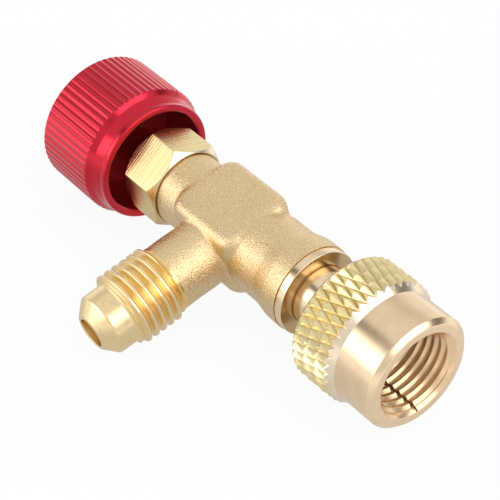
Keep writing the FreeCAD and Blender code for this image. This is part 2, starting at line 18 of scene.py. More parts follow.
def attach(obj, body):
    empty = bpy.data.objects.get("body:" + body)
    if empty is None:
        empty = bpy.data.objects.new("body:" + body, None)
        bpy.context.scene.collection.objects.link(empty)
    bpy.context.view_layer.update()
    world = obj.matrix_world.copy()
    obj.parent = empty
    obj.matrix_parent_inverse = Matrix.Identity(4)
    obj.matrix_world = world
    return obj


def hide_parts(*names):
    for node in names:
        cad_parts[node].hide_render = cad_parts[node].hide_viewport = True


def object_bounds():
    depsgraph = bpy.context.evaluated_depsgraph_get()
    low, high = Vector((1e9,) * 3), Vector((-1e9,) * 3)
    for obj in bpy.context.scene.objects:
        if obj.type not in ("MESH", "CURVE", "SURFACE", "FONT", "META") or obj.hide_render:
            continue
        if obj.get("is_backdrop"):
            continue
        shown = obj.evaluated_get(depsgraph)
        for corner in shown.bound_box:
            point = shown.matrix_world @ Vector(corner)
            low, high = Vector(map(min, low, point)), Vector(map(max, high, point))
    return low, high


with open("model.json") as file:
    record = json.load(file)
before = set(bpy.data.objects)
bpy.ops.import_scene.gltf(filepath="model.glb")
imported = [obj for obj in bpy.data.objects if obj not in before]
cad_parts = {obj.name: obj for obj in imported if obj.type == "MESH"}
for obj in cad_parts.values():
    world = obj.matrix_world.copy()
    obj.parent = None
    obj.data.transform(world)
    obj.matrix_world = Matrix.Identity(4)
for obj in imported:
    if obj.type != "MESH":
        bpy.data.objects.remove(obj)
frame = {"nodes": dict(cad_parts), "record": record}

cad_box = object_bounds()
print("nodes:", sorted(frame["nodes"]))

# %% [markdown]
# ## Where things are
# Everything is drawn in the valve's own axes, in millimetres: the first number runs along the
# main bore from the crossing of the two bores towards the nut, the second away from the side
# port, the third up through the flat top of the tee. The valve lies on the table rolled about
# its bore, so that knob, nut and port all touch it; the record's port axis gives that roll.

# %% The valve's axes
MM = 0.001
port_mount = next(m for m in frame["record"]["mounts"] if m["name"] == "flare_port_thread")
roll = math.atan2(-port_mount["axis"][2], -port_mount["axis"][1])
mouth_station = -port_mount["pos_m"][0] / MM


def to_frame(points):
    """Points in the valve's axes, in millimetres, as points of the shared frame, in metres."""
    x, y, z = np.moveaxis(np.asarray(points, float), -1, 0)
    return np.stack([x - mouth_station,
                     y * math.cos(roll) - z * math.sin(roll),
                     y * math.sin(roll) + z * math.cos(roll)], -1) * MM


print(f"roll {math.degrees(roll):.2f} degrees, mouth {mouth_station:.2f} mm from the crossing")

# %% [markdown]
# ## Turned shapes
# Most of the valve comes off a lathe, so most of the pieces are a section turned about a line.
# A real tool never leaves a perfectly sharp corner, so each corner of a section gets a small
# arc; that arc is what catches the light along every edge in the picture.

# %% Sections and turned grids
def eased(corners, closed=False, bends=4):
    """Section through corners (station, radius, easing), each corner replaced by a small arc."""
    corners = [tuple(c) + (0.0,) * (3 - len(c)) for c in corners]
    count = len(corners)
    path = []
    for k, (x, r, ease) in enumerate(corners):
        here = np.array([x, r], float)
        if ease <= 0 or (not closed and k in (0, count - 1)):
            path.append(here)
            continue
        sides = []
        for other in (corners[k - 1], corners[(k + 1) % count]):
            way = np.array(other[:2], float) - here
            sides.append(way / np.linalg.norm(way) * min(ease, 0.48 * np.linalg.norm(way)))
        for t in np.linspace(0, 1, bends + 1):
            path.append(here + sides[0] * (1 - t) ** 2 + sides[1] * t ** 2)
    return np.array(path)


def laid_round(x, r, angles):
    """Points at stations x and radii r round the main bore: points[row, column]."""
    return np.stack([x + 0 * r * angles, r * np.cos(angles), r * np.sin(angles)], -1)


def swept(section, angles):
    """Section of (station, radius) turned about the main bore."""
    return laid_round(section[:, :1], section[:, 1:], angles)


def grid_faces(rows, columns, closed_rows=False):
    """Quads of a grid whose columns go once round."""
    last = rows if closed_rows else rows - 1
    i, j = np.meshgrid(np.arange(last), np.arange(columns), indexing="ij")
    a, b = i * columns + j, i * columns + (j + 1) % columns
    c, d = ((i + 1) % rows) * columns + (j + 1) % columns, ((i + 1) % rows) * columns + j
    return np.stack([a, b, c, d], -1).reshape(-1, 4)


def round_angles(count):
    """Evenly spaced angles once round."""
    return np.arange(count) * 2 * math.pi / count


def on_port(points):
    """Points turned about the main bore, laid along the side port's bore instead."""
    x, y, z = np.moveaxis(np.asarray(points, float), -1, 0)
    return np.stack([y, -x, z], -1)


print("section of an eased step:", len(eased([(0, 1), (0, 2, 0.1), (1, 2)])), "points")

# %% [markdown]
# ## From grids to pieces
# A piece can need several such grids, say an outside, a thread and a bore. They are drawn so
# that their last rings coincide, and welding those rings gives one closed skin. Faces are then
# shaded smooth except across real edges, which is what a lathe and a mill leave as well.

# %% Meshes from grids
def new_object(name, data):
    """A new object in the scene."""
    made = bpy.data.objects.new(name, data)
    bpy.context.scene.collection.objects.link(made)
    return made


def into_frame(work):
    """Move a mesh's points from the valve's axes into the shared frame."""
    for vertex, place in zip(work.verts, to_frame([v.co for v in work.verts])):
        vertex.co = place


def mesh_piece(name, shells, crisp=34.0):
    """One object from several (points, faces) shells, welded, smooth but for its sharp edges."""
    points = np.concatenate([np.asarray(p, float).reshape(-1, 3) for p, f in shells])
    faces, offset = [], 0
    for p, f in shells:
        faces += (np.asarray(f) + offset).tolist()
        offset += np.asarray(p).reshape(-1, 3).shape[0]
    mesh = bpy.data.meshes.new(name)
    mesh.from_pydata(points.tolist(), [], faces)
    work = bmesh.new()
    work.from_mesh(mesh)
    bmesh.ops.remove_doubles(work, verts=work.verts, dist=0.0005)
    bmesh.ops.dissolve_degenerate(work, edges=work.edges, dist=0.0004)
    bmesh.ops.recalc_face_normals(work, faces=work.faces)
    into_frame(work)
    work.to_mesh(mesh)
    work.free()
    mesh.shade_smooth()
    mesh.set_sharp_from_angle(angle=math.radians(crisp))
    print(f"{name}: {len(mesh.polygons)} faces")
    return new_object(name, mesh)


RING_SIDES = 256


def turned(name, corners):
    """A plain turned piece from the corners of its closed section."""
    section = eased(corners, closed=True)
    faces = grid_faces(len(section), RING_SIDES, closed_rows=True)
    return mesh_piece(name, [(swept(section, round_angles(RING_SIDES)), faces)])


# %% [markdown]
# ## The forged tee
# The tee is pressed red hot between two dies, so its limbs run into each other through soft
# hollows and its edges are round. Here the block, the two barrels and the port's neck are
# closed shapes that overlap; melting them into one skin of small squares and then relaxing
# that skin gives the same soft hollows. The ends are then cut flat, as a lathe does.

# %% Block, barrels and neck
def block(low, high, half_width, half_height, near_corner, far_corner, rim):
    """Upright block with rounded plan corners and a rounded top and bottom rim."""
    def plan(inset):
        outline = []
        for cx, cy, corner, start in ((high, half_width, far_corner, 0),
                                      (low, half_width, near_corner, 90),
                                      (low, -half_width, near_corner, 180),
                                      (high, -half_width, far_corner, 270)):
            mx = cx - math.copysign(corner, cx - (low + high) / 2)
            my = cy - math.copysign(corner, cy)
            for a in np.radians(np.linspace(start, start + 90, 9)):
                outline.append((mx + (corner - inset) * math.cos(a),
                                my + (corner - inset) * math.sin(a)))
        return np.array(outline)
    levels = [(rim * (1 - math.cos(a)), half_height - rim + rim * math.sin(a))
              for a in np.linspace(0, math.pi / 2, 7)]
    rows = [(inset, -z) for inset, z in reversed(levels)] + levels
    points = [np.insert(plan(inset), 2, z, axis=1) for inset, z in rows]
    around = len(points[0])
    faces = grid_faces(len(rows), around).tolist()
    faces += [list(range(around)), list(range((len(rows) - 1) * around, len(rows) * around))]
    return np.concatenate(points), faces


BARREL_SIDES = 96


def barrel(corners, port=False):
    """Closed barrel about the main bore or about the port's."""
    section = eased(corners)
    points = swept(section, round_angles(BARREL_SIDES))
    return (on_port(points) if port else points), grid_faces(len(section), BARREL_SIDES).tolist()


BLOCK_END = 6.9                                  # mm from the crossing, either way
NECK_RADIUS, TAIL_RADIUS, COLLAR_RADIUS = 5.6, 6.05, 6.6
FLARE_START, FLARE_END = 11.2, 13.6              # where the tail widens to the collar
PORT_NECK_RADIUS = 4.9
NECK_STUB, TAIL_STUB, PORT_STUB = -13.0, 19.0, 15.0   # limbs are drawn too long and cut later
shapes = [
    block(-BLOCK_END, BLOCK_END, half_width=5.95, half_height=5.72, near_corner=2.5,
          far_corner=2.8, rim=1.55),
    barrel([(NECK_STUB, 0), (NECK_STUB, NECK_RADIUS), (0.0, NECK_RADIUS), (0.0, 0)]),
    barrel([(0.0, 0), (0.0, NECK_RADIUS), (5.3, NECK_RADIUS, 0.5), (BLOCK_END, TAIL_RADIUS, 0.8),
            (FLARE_START, TAIL_RADIUS, 0.2), (FLARE_END, COLLAR_RADIUS, 0.4),
            (TAIL_STUB, COLLAR_RADIUS), (TAIL_STUB, 0)]),
    barrel([(0.0, 0), (0.0, PORT_NECK_RADIUS), (PORT_STUB, PORT_NECK_RADIUS), (PORT_STUB, 0)],
           port=True),
]
lump = bpy.data.meshes.new("lump")
lump_points, lump_faces = [], []
for points, faces in shapes:
    lump_faces += [[k + len(lump_points) for k in face] for face in faces]
    lump_points += points.reshape(-1, 3).tolist()
lump.from_pydata(lump_points, [], lump_faces)
repair = bmesh.new()
repair.from_mesh(lump)
bmesh.ops.remove_doubles(repair, verts=repair.verts, dist=0.0005)
bmesh.ops.recalc_face_normals(repair, faces=repair.faces)
repair.to_mesh(lump)
repair.free()
print("block and barrels:", len(lump.polygons), "faces")

# %% [markdown]
# ## One forged skin
# Metal that is squeezed into a die flows, so a forging has no line where one limb meets the
# next. Bevels on crossing barrels are hard to get right; a voxel remesh welds them without
# any care about how they cross, and moving each point towards its neighbours' mean rounds the
# rest. A slow wave of a hundredth of a millimetre takes away the too perfect cylinder, and how
# hollow the skin is at each point is kept, to darken the hollows with painted shade.

# %% One skin, relaxed
SKIN_SQUARE = 0.17                     # mm
RELAXING_STEPS, RELAXING = 13, 0.6     # each step goes this share of the way to the mean
WAVE_HEIGHT = 0.011                    # mm
HOLLOW_STEPS, HOLLOW_GAIN = 6, 150     # the kept hollowness is blurred, and near 1 in a corner
lump_object = new_object("lump", lump)
melt = lump_object.modifiers.new("melt", "REMESH")
melt.mode = "VOXEL"
melt.voxel_size = SKIN_SQUARE
seen = lump_object.evaluated_get(bpy.context.evaluated_depsgraph_get())
skin = bpy.data.meshes.new_from_object(seen)
bpy.data.objects.remove(lump_object)

co = np.zeros(len(skin.vertices) * 3)
skin.vertices.foreach_get("co", co)
co = co.reshape(-1, 3)
ends = np.zeros(len(skin.edges) * 2, int)
skin.edges.foreach_get("vertices", ends)
ends = ends.reshape(-1, 2)
neighbours = np.bincount(ends.ravel(), minlength=len(co))[:, None]


def mean_of_neighbours(values):
    """Mean of each vertex's neighbours."""
    total = np.stack([np.bincount(ends[:, 0], values[ends[:, 1], k], len(values))
                      + np.bincount(ends[:, 1], values[ends[:, 0], k], len(values))
                      for k in range(values.shape[1])], -1)
    return total / neighbours


for step in range(RELAXING_STEPS):
    co += RELAXING * (mean_of_neighbours(co) - co)
wave = sum(np.sin(co @ np.array(way) + lag) for way, lag in (
    ((0.9, 0.4, -0.5), 0.3), ((-0.6, 1.1, 0.7), 1.9), ((0.5, -0.8, 1.3), 4.0),
    ((1.7, 0.9, 0.6), 2.2)))
skin.vertices.foreach_set("co", co.ravel())
skin.update()
normals = np.zeros(len(co) * 3)
skin.vertices.foreach_get("normal", normals)
normals = normals.reshape(-1, 3)
co += normals * (wave * WAVE_HEIGHT)[:, None]
hollow = ((mean_of_neighbours(co) - co) * normals).sum(1, keepdims=True)
for step in range(HOLLOW_STEPS):
    hollow = mean_of_neighbours(hollow)
skin.vertices.foreach_set("co", co.ravel())
# kept hollowness, which the forged brass turns into painted shade in the inner corners
crease = skin.attributes.new("crease", "FLOAT", "POINT")
crease.data.foreach_set("value", (hollow.ravel() * HOLLOW_GAIN).astype(np.float32))
print(f"forged skin: {len(skin.polygons)} faces, hollow {hollow.min():.4f} to {hollow.max():.4f}")

# %% [markdown]
# ## Faced ends
# After forging, the three ends are turned flat. Cutting the skin by a plane and closing the
# cut leaves the sharp rim of such a face, which no amount of remeshing would.

# %% Cut the ends flat
NECK_END, BAND_START, PORT_NECK_END = -10.7, 16.2, 12.6
cutter = bmesh.new()
cutter.from_mesh(skin)
for place, way in (((BAND_START, 0, 0), (1, 0, 0)), ((NECK_END, 0, 0), (-1, 0, 0)),
                   ((0, -PORT_NECK_END, 0), (0, -1, 0))):
    cut = bmesh.ops.bisect_plane(cutter, geom=cutter.verts[:] + cutter.edges[:] + cutter.faces[:],
                                 dist=0.0001, plane_co=place, plane_no=way, clear_outer=True)
    rim = [e for e in cut["geom_cut"] if isinstance(e, bmesh.types.BMEdge)]
    bmesh.ops.edgeloop_fill(cutter, edges=rim)
into_frame(cutter)
cutter.to_mesh(skin)
cutter.free()
skin.name = "tee_casting"
tee = new_object("tee_casting", skin)
skin.shade_smooth()
skin.set_sharp_from_angle(angle=math.radians(50))
print("tee_casting:", len(skin.polygons), "faces")

# %% [markdown]
# ## Threads
# A thread is one groove that winds round, so its rows lean: going once round shifts the mesh
# by one pitch, and the last column joins the first a whole pitch further on. Where the rows
# run past an end they pile up on it, which gives the clean circle where the thread stops.

# %% Winding grids
PITCH = 1.27


def threaded(start, end, crest_at, crest, tooth, limit, angles, inside=False):
    """Thread surface; tooth lists (distance from the crest's middle, depth) over half a pitch."""
    half = [(d / PITCH, depth) for d, depth in tooth]
    stops = [(-d, depth) for d, depth in half[::-1]] + half[1:-1]
    turns = range(math.floor((start - crest_at) / PITCH) - 1,
                  math.ceil((end - crest_at) / PITCH) + 1)
    rows = [(turn + d, depth) for turn in turns for d, depth in stops]
    x = crest_at + (np.array([d for d, depth in rows])[:, None] + angles / (2 * math.pi)) * PITCH
    x = np.clip(x, start, end)
    depth = np.array([depth for d, depth in rows])[:, None] + 0 * x
    r = np.maximum(crest + depth, limit(x)) if inside else np.minimum(crest - depth, limit(x))
    columns = len(angles)
    faces = []
    for i in range(len(rows) - 1):
        for j in range(columns - 1):
            faces.append([i * columns + j, i * columns + j + 1,
                          (i + 1) * columns + j + 1, (i + 1) * columns + j])
        k = i + len(stops)
        if k + 1 < len(rows):
            faces.append([i * columns + columns - 1, k * columns, (k + 1) * columns,
                          (i + 1) * columns + columns - 1])
    return laid_round(x, r, angles), faces


print(f"thread: {25.4 / PITCH:.0f} turns to an inch, one every {PITCH} mm")

# %% [markdown]
# ## Side port
# The port's outside thread is rolled or cut to rounded crests, runs out in a relief at the
# neck, and ends in a plain nose with the 45 degree cone that a flared tube seats on. Thread,
# front and back are three grids welded ring to ring, so that the thread is real geometry with
# its own outline against the table.

# %% Side port: thread, nose and seat
PORT_SIDES = 240
port_angles = round_angles(PORT_SIDES)
rolled_tooth = [(0, 0.02), (0.07, 0.014), (0.12, 0.0), (0.165, 0.02), (0.21, 0.08), (0.50, 0.56),
                (0.57, 0.63), (PITCH / 2, 0.65)]
PORT_CREST, PORT_ROOT = 5.55, 4.9
PORT_THREAD_START, PORT_THREAD_END = 13.0, 20.5
FULL_FROM, FULL_TO = 13.1, 20.15                 # crests grow and shrink beyond these
NOSE_START, CONE_START, PORT_TIP = 20.75, 23.54, 25.4
NOSE_RADIUS, SEAT_RADIUS, PORT_BORE = 4.53, 2.67, 2.2


def port_limit(x):
    """Largest radius of the thread along the port."""
    rise = PORT_ROOT + (x - FULL_FROM) * 1.4
    fall = PORT_CREST - (x - FULL_TO) * 1.7
    return np.maximum(np.minimum(rise, fall), PORT_ROOT)


port_thread = threaded(PORT_THREAD_START, PORT_THREAD_END, 14.44, PORT_CREST, rolled_tooth,
                       port_limit, port_angles)
port_front = eased([(PORT_THREAD_END, PORT_ROOT), (NOSE_START, NOSE_RADIUS, 0.1),
                    (CONE_START, NOSE_RADIUS, 0.2), (PORT_TIP, SEAT_RADIUS, 0.16),
                    (PORT_TIP, PORT_BORE, 0.1), (18.0, PORT_BORE)])
port_back = eased([(12.3, 4.2), (12.55, 4.2), (12.55, 4.94, 0.06), (12.95, 4.94, 0.04),
                   (PORT_THREAD_START, PORT_ROOT)])
port = mesh_piece("side_port", [
    (on_port(port_thread[0]), port_thread[1]),
    (on_port(swept(port_front, port_angles)), grid_faces(len(port_front), PORT_SIDES)),
    (on_port(swept(port_back, port_angles)), grid_faces(len(port_back), PORT_SIDES)),
])

# %% [markdown]
# ## Collar band and swivel tail
# The forged collar ends in a short turned band, and out of it comes the bright tail on which
# the nut swivels. Both are plain turned rings; the fine line round the tail is a tool's step.

# %% Collar band and swivel tail
BAND_RADIUS, COLLAR_END = 6.45, 17.5
TAIL_NECK, FLANGE_RADIUS, BOSS_RADIUS = 4.4, 5.4, 3.3
FLANGE_START, FLANGE_END, TAIL_TIP = 25.85, 27.0, 27.9
SHANK_START, SHANK_END, SHANK_RADIUS = 12.0, 17.45, 3.8
GUIDE_FLOOR, GUIDE_RADIUS = 25.8, 2.6            # the pin's guide sits in here
LINE_AT = 20.15                                  # the tool's step round the neck
band = turned("collar_band", [
    (15.4, 5.2), (16.15, 5.2), (16.15, 6.38, 0.05), (16.3, BAND_RADIUS, 0.05),
    (COLLAR_END, BAND_RADIUS, 0.12), (COLLAR_END, 4.42, 0.1), (17.0, 4.3), (15.4, 4.3)])
tail = turned("swivel_tail", [
    (SHANK_START, PORT_BORE), (SHANK_START, SHANK_RADIUS), (SHANK_END, SHANK_RADIUS),
    (SHANK_END, TAIL_NECK), (20.1, TAIL_NECK, 0.05), (LINE_AT, 4.34, 0.02),
    (20.25, TAIL_NECK, 0.05), (FLANGE_START, TAIL_NECK, 0.1), (FLANGE_START, FLANGE_RADIUS, 0.1),
    (FLANGE_END, FLANGE_RADIUS, 0.1), (FLANGE_END, BOSS_RADIUS, 0.1), (TAIL_TIP, BOSS_RADIUS, 0.1),
    (TAIL_TIP, GUIDE_RADIUS, 0.1), (GUIDE_FLOOR, GUIDE_RADIUS), (GUIDE_FLOOR, PORT_BORE)])

# %% [markdown]
# ## Swivel nut
# The nut is turned from bar, and a pair of rolls presses the diamond knurl into its rear half.
# Each diamond is a little pyramid with four flat faces, which is why some faces flash and
# their neighbours stay dark. The mouth is threaded inside and a slot lets gas bleed off.

# %% Knurl
KNURL_TEETH = 40
KNURL_STEP = 2.1                                     # half a diamond along the bore
COLUMNS_PER_TOOTH, ROWS_PER_STEP = 16, 8             # so that corners lie on every valley
NUT_REAR, KNURL_START, KNURL_END, SKIRT_START = 23.0, 23.5, 29.4, 30.55
KNURL_RADIUS, VALLEY_RADIUS, REAR_RADIUS, SKIRT_RADIUS = 9.4, 8.86, 8.9, 8.4
ROW = KNURL_STEP / ROWS_PER_STEP
knurl_columns = KNURL_TEETH * COLUMNS_PER_TOOTH
knurl_angles = round_angles(knurl_columns)
knurl_rows = np.concatenate([
    KNURL_START - ROW * np.array([1.9, 1.5, 1.0, 0.5]),          # rear chamfer
    KNURL_START + ROW * np.arange(22),                           # knurl
    KNURL_START + ROW * np.arange(22, 25.3, 0.25),               # finer where the knurl ends
    [30.3, SKIRT_START, 30.8, 31.0]])
knurl_x = knurl_rows[:, None] + 0 * knurl_angles
along = (knurl_x - KNURL_START) / KNURL_STEP                     # in half diamonds
across = knurl_angles[None, :] * KNURL_TEETH / math.pi + 0 * knurl_x
left_hand = np.abs((along + across + 1) % 2 - 1)                 # 0 in one set of valleys
right_hand = np.abs((along - across + 1) % 2 - 1)
ridge = np.minimum(left_hand, right_hand)
knurl_radius = np.minimum(VALLEY_RADIUS + ridge * 0.57, KNURL_RADIUS)
rear_cone = REAR_RADIUS + np.clip(knurl_x - knurl_rows[0], 0, 0.5)
front_cone = KNURL_RADIUS - np.clip((knurl_x - KNURL_END) / 1.15, 0, 1) * 1.0
knurl_radius = np.minimum(np.minimum(knurl_radius, rear_cone), front_cone)
knurl = laid_round(knurl_x, knurl_radius, knurl_angles)
print(f"knurl: {KNURL_TEETH} diamonds round, {len(knurl_rows)} rows of {knurl_columns} points")

# %% [markdown]
# ## Folding the knurl's squares
# A square over a ridge or a valley has to be folded along it, and a mesh folds a square along
# either diagonal as it likes. Here each square is cut in two along the diagonal that runs with
# the valley, so every valley is a straight clean line.

# %% Triangles along the valleys
squares = grid_faces(*knurl_radius.shape)
corner = knurl_radius.ravel()[squares]
on_knurl = knurl_x.ravel()[squares[:, 0]] < 29.2
fold = (corner[:, 0] + corner[:, 2] < corner[:, 1] + corner[:, 3]) == on_knurl
knurl_faces = np.concatenate([squares[fold][:, [0, 1, 2]], squares[fold][:, [0, 2, 3]],
                              squares[~fold][:, [0, 1, 3]], squares[~fold][:, [1, 2, 3]]])
print("knurl:", len(knurl_faces), "triangles")

# %% [markdown]
# ## The nut's skirt and mouth
# In front of the knurl the nut is turned smooth. Its thread is cut from the mouth to a relief
# at the rear wall, and a saw cut along the bore is the slot. The slot needs no boolean: where
# its angle lies between the two sides, the thread's grid simply keeps a larger radius, and two
# extra columns at each side make the step upright.

# %% Skirt, thread and slot
NUT_FRONT, NUT_CREST, NUT_RELIEF = 37.3, 5.65, 6.4
REAR_WALL_END, RELIEF_END, THREAD_END = 25.2, 28.5, 37.25
NUT_HOLE = 4.45                                      # the tail's neck runs through it
front = eased([(knurl_rows[-1], SKIRT_RADIUS), (31.1, SKIRT_RADIUS, 0.05),
               (36.6, SKIRT_RADIUS, 0.12), (NUT_FRONT, 7.7, 0.12), (NUT_FRONT, 6.6, 0.05),
               (THREAD_END, 6.5)])
back = eased([(RELIEF_END, NUT_RELIEF), (REAR_WALL_END, NUT_RELIEF), (REAR_WALL_END, NUT_HOLE, 0.1),
              (NUT_REAR, NUT_HOLE, 0.1), (knurl_rows[0], REAR_RADIUS)])
SLOT_AT, SLOT_FLOOR, LEDGE_FLOOR = 259, 6.6, 6.18     # degrees, then radii
slot_ledge, slot_left, slot_right = math.radians(SLOT_AT) + np.array([-0.45, -0.12, 0.16]) / 6.2
nut_angles = np.sort(np.concatenate([round_angles(240)] + [
    edge + np.array([-0.0015, 0.0015]) for edge in (slot_ledge, slot_left, slot_right)]))
tapped_tooth = [(0, 0.0), (0.10, 0.0), (0.16, 0.012), (0.21, 0.05), (0.53, 0.44), (0.58, 0.49),
                (PITCH / 2, 0.50)]


def nut_limit(x):
    """Smallest radius of the thread along the nut: countersunk mouth, relief and slot."""
    tool_line = 0.04 * np.exp(-((x - 36.75) / 0.04) ** 2)
    mouth = NUT_CREST + (x - 36.4) - tool_line
    relief = NUT_RELIEF - (x - RELIEF_END) * 1.5
    slot = np.where((nut_angles > slot_left) & (nut_angles < slot_right), SLOT_FLOOR, 0.0)
    slot = np.where((nut_angles > slot_ledge) & (nut_angles < slot_left), LEDGE_FLOOR, slot) + 0 * x
    slot = np.where((x > 28.6) & (x < 37.2), slot, 0)
    return np.maximum(np.maximum(mouth, relief), slot)


nut_thread = threaded(RELIEF_END, THREAD_END, 31.28, NUT_CREST, tapped_tooth, nut_limit, nut_angles,
                      inside=True)
nut = mesh_piece("swivel_nut_turned", [
    (knurl, knurl_faces),
    (swept(front, knurl_angles), grid_faces(len(front), knurl_columns)),
    nut_thread,
    (swept(back, knurl_angles), grid_faces(len(back), knurl_columns)),
], crisp=28.0)

# %% [markdown]
# ## Bonnet nut
# The hexagon is milled from round bar; a cone turned on each end trims its six corners, which
# leaves the curved edges where flat and cone meet.

# %% Hexagon
HEX_BACK, HEX_FRONT = -18.2, -11.0
ACROSS_FLATS, CORNER_RADIUS, FACE_RADIUS = 12.0, 6.88, 5.9
CONE_SLOPE = 0.935                                   # radius gained per millimetre from an end
hex_angles = np.radians(np.sort(np.concatenate(
    [60 * k + np.linspace(-30, 30, 25)[:-1] for k in range(6)]
    + [60 * k + 30 + np.array([-0.6, 0.6]) for k in range(6)])))
hex_reach = np.concatenate([[0.0], np.linspace(0.02, 1.15, 20), [1.4, 3.6]])
hex_stations = np.concatenate([HEX_BACK + hex_reach, (HEX_FRONT - hex_reach)[::-1]])
from_middle = (hex_angles + math.radians(30)) % math.radians(60) - math.radians(30)
hex_flat = np.minimum(ACROSS_FLATS / 2 / np.cos(from_middle), CORNER_RADIUS)
hex_end = np.minimum(np.abs(hex_stations - HEX_BACK), np.abs(hex_stations - HEX_FRONT))
hex_radius = np.minimum(hex_flat[None, :], (FACE_RADIUS + hex_end * CONE_SLOPE)[:, None])
hex_points = laid_round(hex_stations[:, None], hex_radius, hex_angles)
hex_inside = np.array([
    (HEX_FRONT, FACE_RADIUS), (HEX_FRONT, 5.56), (-10.8, 5.5), (-10.8, 5.34), (HEX_FRONT, 5.34),
    (HEX_FRONT, 3.0), (HEX_BACK, 3.0), (HEX_BACK, FACE_RADIUS)])
hexagon = mesh_piece("bonnet_hexagon", [
    (hex_points, grid_faces(len(hex_stations), len(hex_angles))),
    (swept(hex_inside, hex_angles), grid_faces(len(hex_inside), len(hex_angles))),
], crisp=14.0)

# %% [markdown]
# ## Knob
# The knob is turned from aluminium, its flutes are cut one by one, and only then is it dyed
# and sealed. Flutes that run out over a sloped shoulder end in small scallops.

# %% Section of the knob
GRIP = 10.25
KNOB_END, KNOB_MOUTH, CAVITY_FLOOR = -33.0, -18.8, -27.2
GRIP_END, WAIST_START, BEAD_START = -22.3, -21.4, -19.7
WAIST_RADIUS, BEAD_RADIUS, CAVITY_RADIUS = 8.9, 9.2, 8.0
RECESS_FLOOR, RECESS_RADIUS = -30.4, 3.2             # the screw's head and washer lie in it
knob_section = eased([
    (RECESS_FLOOR, RECESS_RADIUS), (KNOB_END, RECESS_RADIUS, 0.1), (KNOB_END, 9.75, 0.15),
    (-32.5, GRIP, 0.15), (GRIP_END, GRIP, 0.12), (WAIST_START, 9.5, 0.15),
    (-19.9, WAIST_RADIUS, 0.25), (BEAD_START, BEAD_RADIUS, 0.12), (KNOB_MOUTH, BEAD_RADIUS, 0.35),
    (KNOB_MOUTH, 8.3, 0.1), (-19.1, CAVITY_RADIUS, 0.1), (CAVITY_FLOOR, CAVITY_RADIUS, 0.04),
    (CAVITY_FLOOR, 2.0)])
fine = [knob_section[0]]
for a, b in zip(knob_section[:-1], knob_section[1:]):
    pieces = 8 if 9.9 < max(a[1], b[1]) and a[1] != b[1] else 1      # finer where flutes run out
    fine += [a + (b - a) * t for t in np.linspace(0, 1, pieces + 1)[1:]]
knob_section = np.array(fine)
print("knob's section:", len(knob_section), "points")

# %% Flutes
FLUTES = 64
COLUMNS_PER_FLUTE = 12
FLUTE_RADIUS, FLUTE_DEPTH = 0.92, 0.13
knob_angles = round_angles(FLUTES * COLUMNS_PER_FLUTE)
reach = GRIP - FLUTE_DEPTH + FLUTE_RADIUS                          # cutter's middle from the axis
off = (knob_angles * FLUTES / (2 * math.pi) + 0.5) % 1 - 0.5       # 0 in the bottom of a flute
off = off * 2 * math.pi / FLUTES
flute = reach * np.cos(off) - np.sqrt(FLUTE_RADIUS ** 2 - (reach * np.sin(off)) ** 2)
flute = np.minimum(flute, GRIP)
own = knob_section[:, 1:] + 0 * flute
knob_radius = np.where(own > 9.3, np.minimum(own, flute), own)     # inner stretches stay round
knob_points = laid_round(knob_section[:, :1], knob_radius, knob_angles)
knob = mesh_piece("fluted_knob", [(knob_points, grid_faces(len(knob_section), len(knob_angles)))],
                  crisp=30.0)

# %% [markdown]
# ## Shader arithmetic
# A finish is a small sum over the surface: grain here, tool lines there. Wiring such a sum
# by hand soon hides what it says. The class below wraps a socket, so that the sum can be
# written as plain arithmetic, and each sign adds the node that does it.

# %% Sockets that add up
class Amount:
    """An output of a shader node that can be added, multiplied and compared."""

    def __init__(self, finish, socket):
        self.finish, self.socket = finish, socket

    def math(self, operation, *others):
        return self.finish.node("Math", {"operation": operation}, dict(enumerate((self,) + others)))

    def __add__(self, other):
        return self.math("ADD", other)

    def __mul__(self, other):
        return self.math("MULTIPLY", other)

    def __sub__(self, other):
        return self.math("SUBTRACT", other)

    def __rsub__(self, other):
        return self * -1.0 + other

    def between(self, low, high):
        """0 below low, 1 above high, smooth between."""
        return self.finish.node("MapRange", {"interpolation_type": "SMOOTHSTEP"},
                                {"Value": self, "From Min": low, "From Max": high})

    def colour(self, first, second):
        """Colour that goes from first to second with this amount."""
        return self.finish.node("Mix", {"data_type": "RGBA"}, {0: self, 6: first, 7: second}, 2)


print("an amount knows:", [name for name in vars(Amount) if callable(vars(Amount)[name])])

# %% [markdown]
# ## Building a finish
# Every finish below is made from a few ingredients: where a point lies on the piece, a noise
# that varies around it, lines that only vary along one direction, and a bump of a real depth
# in millimetres. Keeping them in one class keeps each finish down to a dozen lines.

